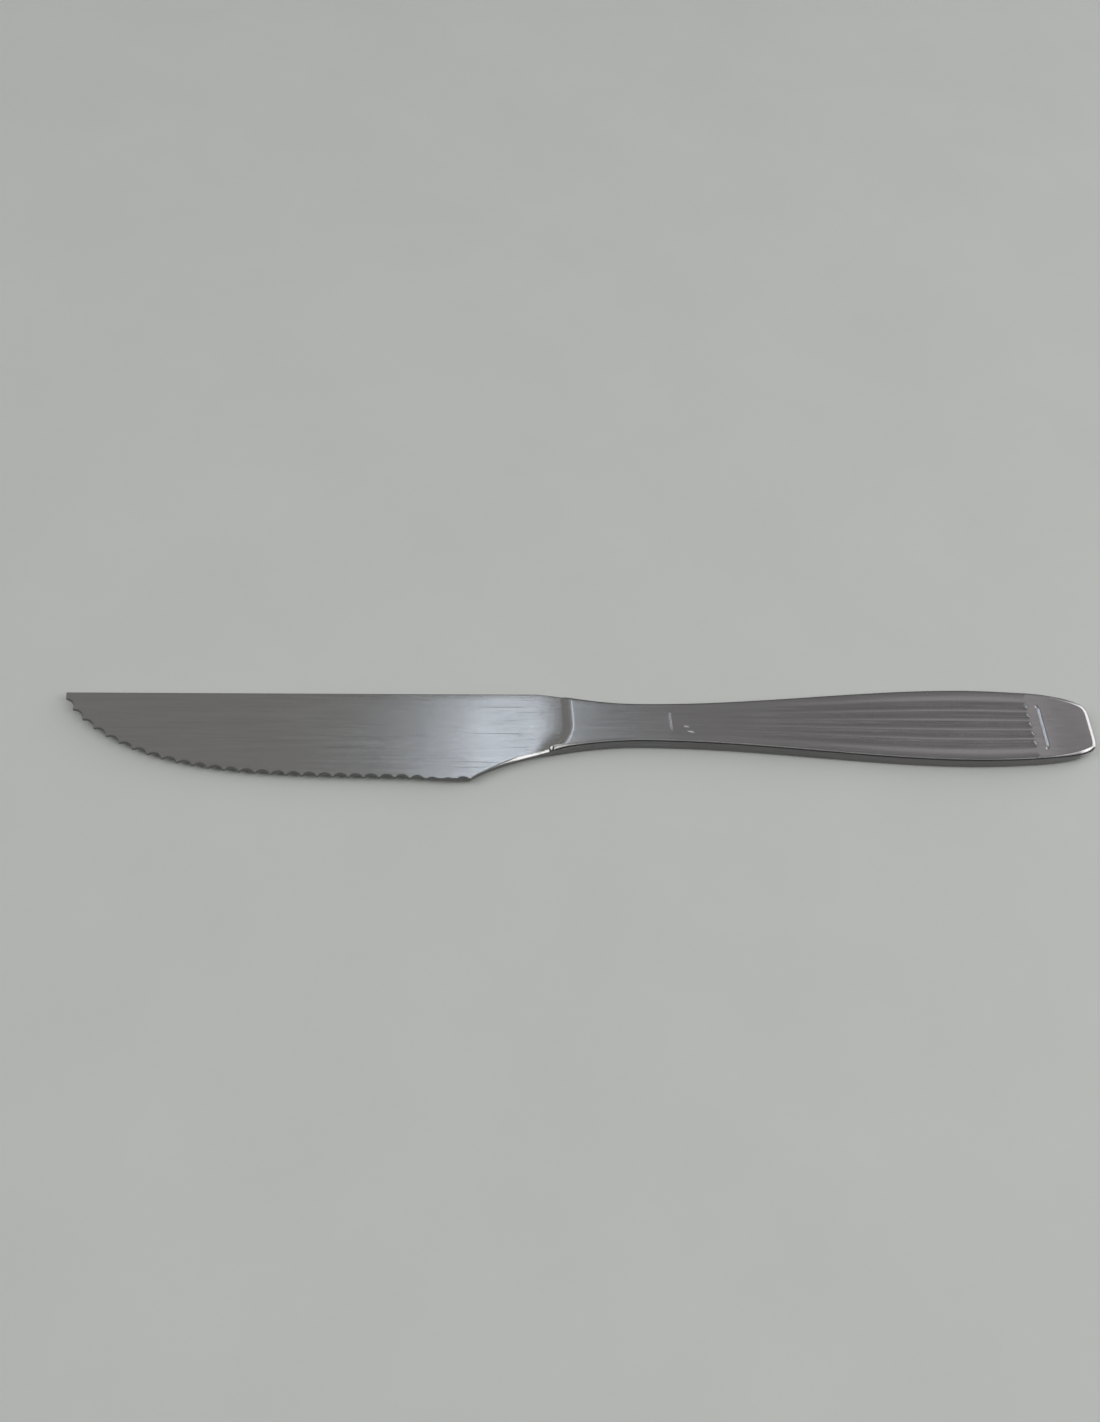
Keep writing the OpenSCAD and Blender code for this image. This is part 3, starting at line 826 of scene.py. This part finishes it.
# Stretched noises: scale along each axis per metre, detail, roughness, and turn in plan
COARSE = ((60.0, 2600.0, 2600.0), 2.0, 0.55, 0.0)
FINE = ((160.0, 11000.0, 11000.0), 3.0, 0.55, 0.0)
CROSS = ((9000.0, 500.0, 500.0), 2.0, 0.55, 0.0)
HAIRS = ((40.0, 5200.0, 5200.0), 1.0, 0.55, 0.035)
SMUDGE = ((55.0, 80.0, 80.0), 3.0, 0.6, 0.0)

# Even noises: scale per metre, detail and roughness
TOOTH = (900.0, 3.0, 0.55)
CLOUDS = (30.0, 3.0, 0.55)

HAIR_SPAN = (0.66, 0.74)
PIT_SCALE, PIT_POWER, PIT_RIM = 420.0, 9.0, 0.075
COARSE_HEIGHT = 0.6
BRUSH_DEPTH = 0.00002
CLOUD_SPAN, CLOUD_SHADES = (0.3, 0.7), (0.985, 1.015)
TOOTH_STRENGTH, TOOTH_DEPTH = 0.1, 0.0002
PAPER_ROUGHNESS = 0.9

# What each mark adds to the roughness, the shade and the height of the steel. The shade of the
# streaks, hairlines and pits is the steel's own tone; that of the ground, sheared and pressed marks
# is painted shade.
ROUGHNESS_OF = (("streaks", 0.22), ("smudge", 0.10), ("pits", 0.2))
PRESSED_ROUGHNESS = (("pressed", 0.1),)
TONE_AND_PAINTED_SHADE_OF = (("streaks", 0.34), ("hairs", -0.08), ("pits", -0.3), ("ground", -0.7),
            ("sheared", -0.66), ("pressed", -0.34))
HEIGHT_OF = (("hairs", -0.5), ("pits", -1.5))


class Graph:
    """Builds the nodes of a material or a world one at a time, with inputs given by name."""

    def __init__(self, owner):
        owner.use_nodes = True
        self.tree = owner.node_tree
        self.tree.nodes.clear()

    def add(self, kind, inputs=None, **settings):
        node = self.tree.nodes.new(kind)
        for key, value in settings.items():
            setattr(node, key, value)
        for key, value in (inputs or {}).items():
            if isinstance(value, bpy.types.NodeSocket):
                self.tree.links.new(value, node.inputs[key])
            else:
                node.inputs[key].default_value = value
        return node

    def math(self, operation, a, b=0.0, c=0.0):
        return self.add("ShaderNodeMath", {0: a, 1: b, 2: c}, operation=operation).outputs[0]

    def noise(self, at, scale, detail, rough):
        return self.add("ShaderNodeTexNoise", {"Vector": at, "Scale": scale, "Detail": detail,
                                               "Roughness": rough}).outputs["Fac"]

    def brushed(self, at, scale, detail, rough, turn):
        stretched = self.add("ShaderNodeMapping", {"Vector": at, "Scale": scale,
                                                   "Rotation": (0.0, 0.0, turn)})
        return self.noise(stretched.outputs[0], 1.0, detail, rough)

    def ranged(self, value, span, to_span, kind="LINEAR"):
        inputs = dict(enumerate((value, *span, *to_span)))
        return self.add("ShaderNodeMapRange", inputs, interpolation_type=kind).outputs[0]

    def added(self, total, marks, amounts):
        """The total, plus each mark times its amount."""
        for mark, amount in amounts:
            total = self.math("MULTIPLY_ADD", marks[mark], amount, total)
        return total

    def finish(self, tint, shade, metal, rough, strength, depth, height):
        """Ends a material, whose colour is the tint times the shade."""
        tone = self.add("ShaderNodeVectorMath", {0: tuple(tint), "Scale": shade},
                        operation="SCALE")
        bump = self.add("ShaderNodeBump", {"Strength": strength, "Distance": depth,
                                           "Height": height})
        shader = self.add("ShaderNodeBsdfPrincipled", {
            "Base Color": tone.outputs[0], "Metallic": metal, "Roughness": rough,
            "Normal": bump.outputs[0]})
        self.add("ShaderNodeOutputMaterial", {"Surface": shader.outputs[0]})


def steel(name, tint, finish):
    """Brushed steel: lengthwise brushing in two widths, faint smudges, scattered pits and
    hairlines, and rougher places where it is ground, sheared or pressed, where its colour is also
    darkened as painted shade."""
    material = bpy.data.materials.new(name)
    g = Graph(material)
    at = g.add("ShaderNodeTexCoord").outputs["Object"]
    marks = {mark: g.add("ShaderNodeAttribute", attribute_name=mark).outputs["Fac"]
             for mark in ("ground", "sheared", "pressed")}
    coarse, fine, cross, hairs, smudge = (g.brushed(at, *noise)
                                          for noise in (COARSE, FINE, CROSS, HAIRS, SMUDGE))
    cells = g.add("ShaderNodeTexVoronoi", {"Vector": at, "Scale": PIT_SCALE, "Randomness": 1.0})
    size = g.add("ShaderNodeSeparateColor", {"Color": cells.outputs["Color"]}).outputs[0]
    rim = g.math("MULTIPLY", g.math("POWER", size, PIT_POWER), PIT_RIM)
    streaks = g.math("ADD", g.math("MULTIPLY", coarse, 0.5), g.math("MULTIPLY", fine, 0.5))
    marks["streaks"] = g.math("SUBTRACT", streaks, 0.5)
    marks["smudge"] = g.math("SUBTRACT", smudge, 0.5)
    marks["hairs"] = g.ranged(hairs, HAIR_SPAN, (0.0, 1.0))
    marks["pits"] = g.math("LESS_THAN", cells.outputs["Distance"], rim)

    rough = g.added(finish.satin, marks, ROUGHNESS_OF)
    for mark in ("ground", "sheared"):
        gap = g.math("SUBTRACT", getattr(finish, mark), rough)
        rough = g.math("MULTIPLY_ADD", gap, marks[mark], rough)
    rough = g.added(rough, marks, PRESSED_ROUGHNESS)
    crossed = g.math("MULTIPLY", g.math("SUBTRACT", cross, fine), marks["ground"])
    both = g.math("ADD", g.math("MULTIPLY", coarse, COARSE_HEIGHT), fine)
    height = g.added(g.math("ADD", both, crossed), marks, HEIGHT_OF)
    # The colour is the tint times the shade, which paints shade in the ground scallops, on the
    # sheared sides and in the flutes
    g.finish(tint, g.added(1.0, marks, TONE_AND_PAINTED_SHADE_OF), 1.0, rough, finish.brushing, BRUSH_DEPTH, height)
    return material


def paper(name, tint):
    """A plain pale floor with a faint, fine tooth."""
    material = bpy.data.materials.new(name)
    g = Graph(material)
    at = g.add("ShaderNodeTexCoord").outputs["Object"]
    shade = g.ranged(g.noise(at, *CLOUDS), CLOUD_SPAN, CLOUD_SHADES)
    g.finish(tint, shade, 0.0, PAPER_ROUGHNESS, TOOTH_STRENGTH, TOOTH_DEPTH, g.noise(at, *TOOTH))
    return material


def fit_piece(name, surface, finish, node, slot):
    """Adds a piece in its steel, in its node's place. Its surface is its rings, the number of
    points across a face, and its marks."""
    piece = bar_object(name, *surface)
    material = steel(slot.replace("_", " "), getattr(finish, node), finish)
    piece.data.materials.append(material)
    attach(piece, "root")
    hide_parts(node)


# Operators

class KNIFE_OT_blade(bpy.types.Operator):
    """Draw the blade with its ground scallops, their bevel and the hollow at the root"""
    bl_idname = "knife.blade"
    bl_label = "Blade"

    def execute(self, context):
        knife = context.scene.steak_knife
        surface = BladeSurface(Bar(knife)).rings()
        fit_piece("ground_blade", surface, knife.finish, "blade", "ground_steel")
        return {"FINISHED"}


class KNIFE_OT_neck(bpy.types.Operator):
    """Draw the slim neck between the shoulder and the handle"""
    bl_idname = "knife.neck"
    bl_label = "Neck"

    def execute(self, context):
        knife = context.scene.steak_knife
        bar = Bar(knife)
        stations = stretches((bar.shoulder_x, bar.grip_x), NECK_STEPS)
        surface = rings_of_bar(bar, stations, np.linspace(1.0, -1.0, NECK_POINTS))
        fit_piece("satin_neck", surface, knife.finish, "bolster", "satin_steel")
        return {"FINISHED"}


class KNIFE_OT_handle(bpy.types.Operator):
    """Draw the handle with its pressed flutes, cross grooves and rounded butt"""
    bl_idname = "knife.handle"
    bl_label = "Handle"

    def execute(self, context):
        knife = context.scene.steak_knife
        bar = Bar(knife)
        surface = rings_of_bar(bar, handle_stations(bar), handle_shares())
        fit_piece("fluted_handle", surface, knife.finish, "handle", "pressed_steel")
        return {"FINISHED"}


# Room: the spans over which its back and its ceiling brighten, and how bright its front is
BACK_SPAN = (-0.6, 0.5)
FRONT_SHARE = 0.25
CEILING_SPAN = (0.965, 0.99)
ROOM_TINT = (1.0, 0.985, 0.965, 1.0)

# Soft lights: place, target, size and colour
WHITE = (1.0, 1.0, 1.0)
LIGHTS = {
    "window": ((0.078, 0.47, 0.90), (-0.03, 0.0, 0.0), (0.07, 0.24), (0.78, 0.88, 1.0)),
    "glow": ((0.56, 0.50, 0.90), (0.08, 0.0, 0.0), (0.22, 0.25), (1.0, 0.92, 1.0)),
    "key": ((0.85, -0.23, 0.82), (0.0, 0.0, 0.0), (0.7, 0.5), WHITE),
    "lamp": ((0.2155, -0.286, 0.713), (-0.018, -0.008, 0.0), (0.334, 0.225), WHITE),
    "side": ((1.03, 0.44, 0.36), (0.09, 0.0, 0.0), (0.9, 0.7), WHITE),
    "back": ((-0.92, -0.08, 0.92), (0.0, 0.0, 0.0), (0.8, 0.7), WHITE),
}

# Camera, fitted to the photograph's outline. Its focal length is in the photo's pixels.
FOCAL_LENGTH = 1450.0
PHOTO_HEIGHT = 1422.0
SENSOR = 36.0
CAMERA_PLACE = (-0.059, -0.14658, 0.25636)
CAMERA_RIGHT = Vector((0.98926, -0.06596, 0.13046))
CAMERA_UP = Vector((-0.00923, 0.86245, 0.50607))
CAMERA_NEAR = 0.01


def lay_floor(stage):
    """A square floor round the knife, at the height that it lies on."""
    far = stage.floor_side / 2
    mesh = bpy.data.meshes.new("floor")
    mesh.from_pydata([(-far, -far, 0.0), (far, -far, 0.0), (far, far, 0.0), (-far, far, 0.0)], [],
                     [(0, 1, 2, 3)])
    mesh.materials.append(paper("pale paper", stage.floor))
    link("floor", mesh)


def light_room(stage):
    """A room that is brighter behind the knife than before it, with a bright ceiling."""
    world = bpy.context.scene.world = bpy.data.worlds.new("room")
    g = Graph(world)
    way = g.add("ShaderNodeTexCoord").outputs["Generated"]
    parts = g.add("ShaderNodeSeparateXYZ", {"Vector": way})
    behind = g.ranged(parts.outputs["Y"], BACK_SPAN, (FRONT_SHARE, 1.0), "SMOOTHSTEP")
    above = g.ranged(parts.outputs["Z"], CEILING_SPAN, (0.0, stage.overhead), "SMOOTHSTEP")
    level = g.math("MULTIPLY_ADD", behind, stage.room, above)
    back = g.add("ShaderNodeBackground", {"Color": ROOM_TINT, "Strength": level})
    g.add("ShaderNodeOutputWorld", {"Surface": back.outputs[0]})


def hang_lights(stage):
    """Soft lights, each facing its target, with its power from the settings."""
    for name, (place, target, size, tint) in LIGHTS.items():
        lamp = bpy.data.lights.new(name, "AREA")
        lamp.shape = "RECTANGLE"
        lamp.size, lamp.size_y = size
        lamp.energy = getattr(stage, name)
        lamp.color = tint
        box = link(name, lamp)
        box.location = place
        way = Vector(target) - Vector(place)
        box.rotation_euler = way.to_track_quat("-Z", "Y").to_euler()


def set_camera():
    """It looks against the cross product of its right and its up."""
    lens = bpy.data.cameras.new("camera")
    lens.sensor_width = SENSOR
    lens.lens = FOCAL_LENGTH * SENSOR / PHOTO_HEIGHT
    lens.clip_start = CAMERA_NEAR
    camera = link("camera", lens)
    turn = Matrix((CAMERA_RIGHT, CAMERA_UP, CAMERA_RIGHT.cross(CAMERA_UP))).transposed()
    camera.matrix_world = Matrix.Translation(CAMERA_PLACE) @ turn.to_4x4()
    bpy.context.scene.camera = camera
    bpy.context.scene.view_settings.view_transform = "Standard"


class KNIFE_OT_stage(bpy.types.Operator):
    """Lay the floor, light the room and set up the camera"""
    bl_idname = "knife.stage"
    bl_label = "Stage"

    def execute(self, context):
        stage = context.scene.steak_knife.stage
        lay_floor(stage)
        light_room(stage)
        hang_lights(stage)
        set_camera()
        return {"FINISHED"}


class KNIFE_PT_panel(bpy.types.Panel):
    """The sizes, finishes and lights, and a button for each operator"""
    bl_label = "Steak knife"
    bl_idname = "KNIFE_PT_panel"
    bl_space_type = "VIEW_3D"
    bl_region_type = "UI"
    bl_category = "Knife"

    def draw(self, context):
        knife = context.scene.steak_knife
        for part in knife.__annotations__:
            group, box = getattr(knife, part), self.layout.box()
            for key in group.__annotations__:
                box.prop(group, key)
        for operator in OPERATORS:
            self.layout.operator(operator.bl_idname)


OPERATORS = (KNIFE_OT_stage, KNIFE_OT_blade, KNIFE_OT_neck, KNIFE_OT_handle)
CLASSES = (BladeSizes, TeethSizes, BarSizes, FluteSizes, FinishSettings, StageSettings,
           KnifeSettings, *OPERATORS, KNIFE_PT_panel)


def register():
    for item in CLASSES:
        bpy.utils.register_class(item)
    bpy.types.Scene.steak_knife = PointerProperty(type=KnifeSettings)


def unregister():
    del bpy.types.Scene.steak_knife
    for item in reversed(CLASSES):
        bpy.utils.unregister_class(item)


def main():
    register()
    bpy.ops.knife.stage()
    bpy.ops.knife.blade()
    bpy.ops.knife.neck()
    bpy.ops.knife.handle()


if __name__ == "__main__":
    main()
